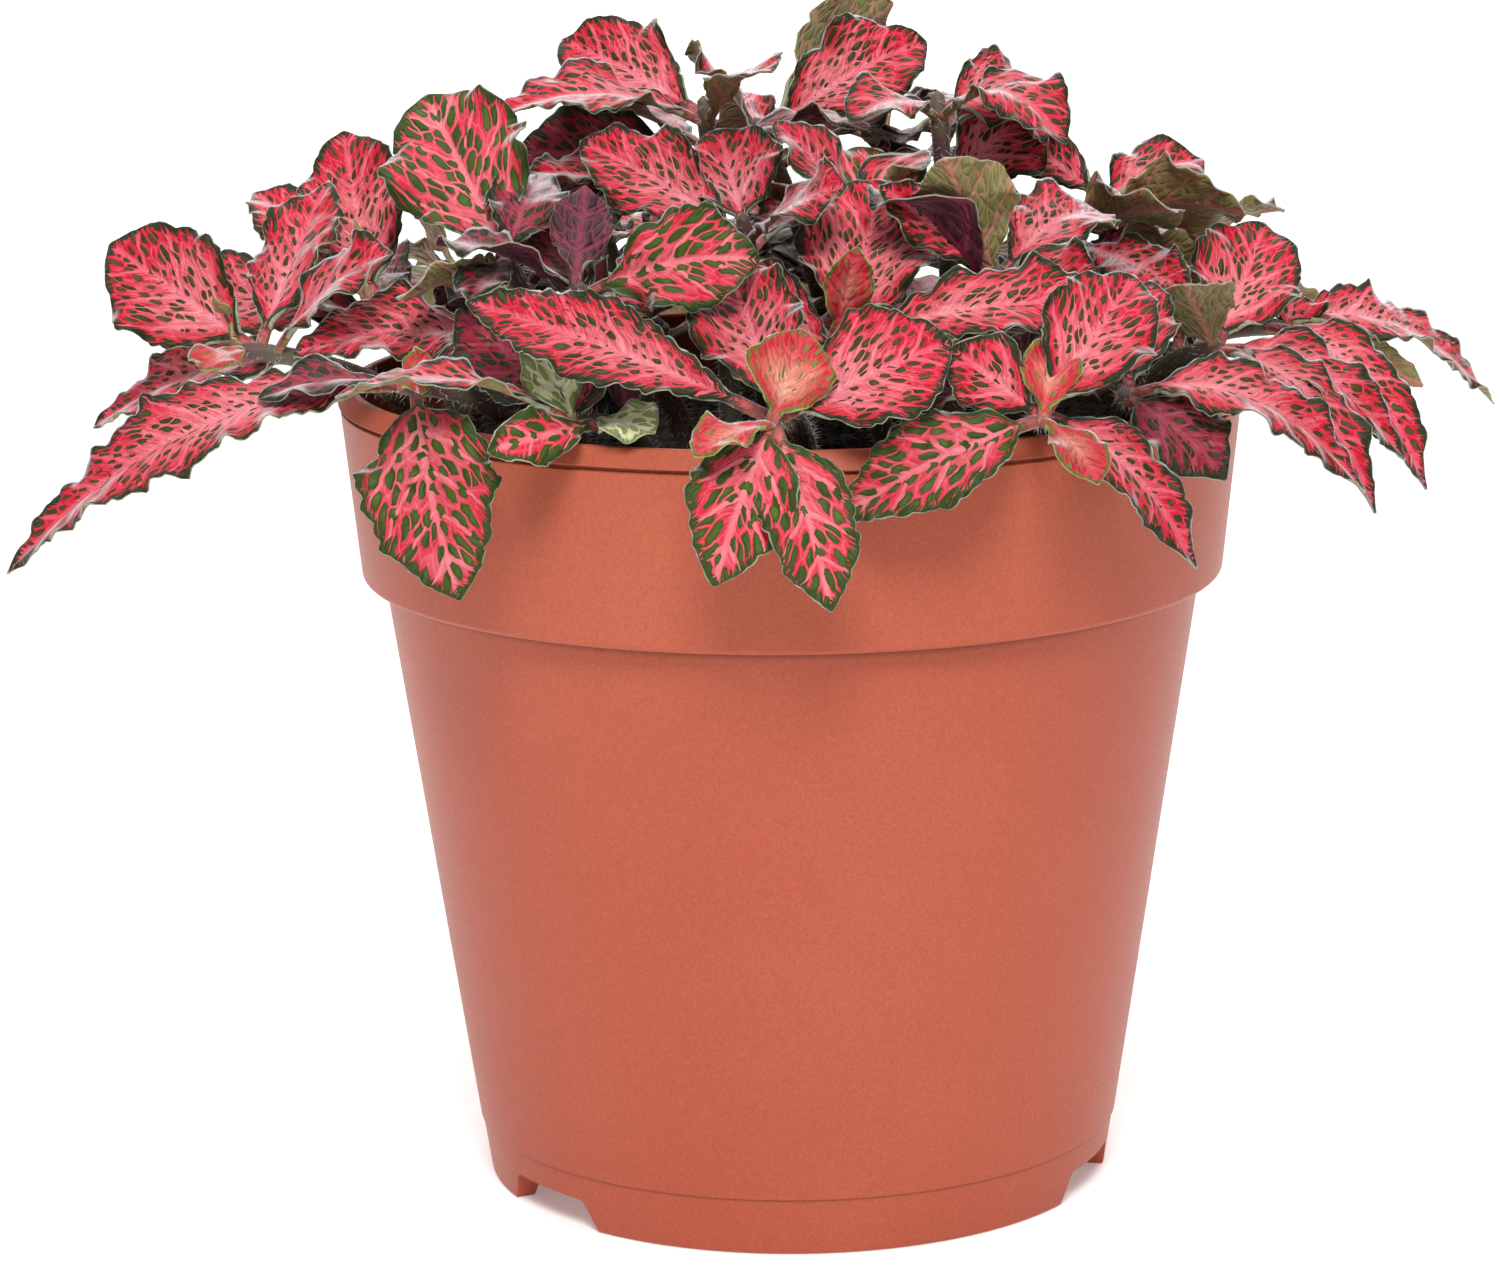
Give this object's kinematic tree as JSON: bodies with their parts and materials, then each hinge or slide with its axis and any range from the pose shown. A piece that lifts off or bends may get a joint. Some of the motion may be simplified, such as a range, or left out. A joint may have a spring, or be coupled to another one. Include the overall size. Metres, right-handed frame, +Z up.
{
  "type": "potted nerve plant",
  "caption": "Bushy nerve plant with red-netted, dark-edged leaves on rooted stems, in a round terracotta-coloured plastic nursery pot filled with soil.",
  "frame": {"origin": "middle of the pot's foot, on the surface it stands on", "axes": "+Z up along the pot's axis; -Y is the side the picture was taken from; +X is to the right in the picture"},
  "size_m": [0.1976, 0.1515, 0.1568],
  "materials": {
    "pot": "satin injection-moulded plastic, terracotta colour, fine grain",
    "soil": "loose dark peat with small crumbs",
    "foliage": "thin living leaf: red with a green net and dark green edge, soft sheen on top, olive beneath; fine hairs on the stems"
  },
  "bodies": {
    "root": {"pot": "pot", "soil": "soil", "shoot_front_middle": "foliage", "shoot_front_right": "foliage", "shoot_left_over_rim": "foliage", "shoot_left_front": "foliage", "shoot_front_low": "foliage", "shoot_left_middle": "foliage", "shoot_left_back": "foliage", "shoot_middle_left": "foliage", "shoot_middle_front": "foliage", "shoot_middle": "foliage", "shoot_middle_right": "foliage", "shoot_top_left": "foliage", "shoot_top": "foliage", "shoot_top_right": "foliage", "shoot_right_middle": "foliage", "shoot_right_upper": "foliage", "shoot_right": "foliage", "shoot_right_front": "foliage", "shoot_right_back": "foliage", "shoot_back_left": "foliage", "shoot_back": "foliage", "shoot_back_right": "foliage", "shoot_back_upper": "foliage", "shoot_back_upper_left": "foliage"}
  },
  "joints": []
}
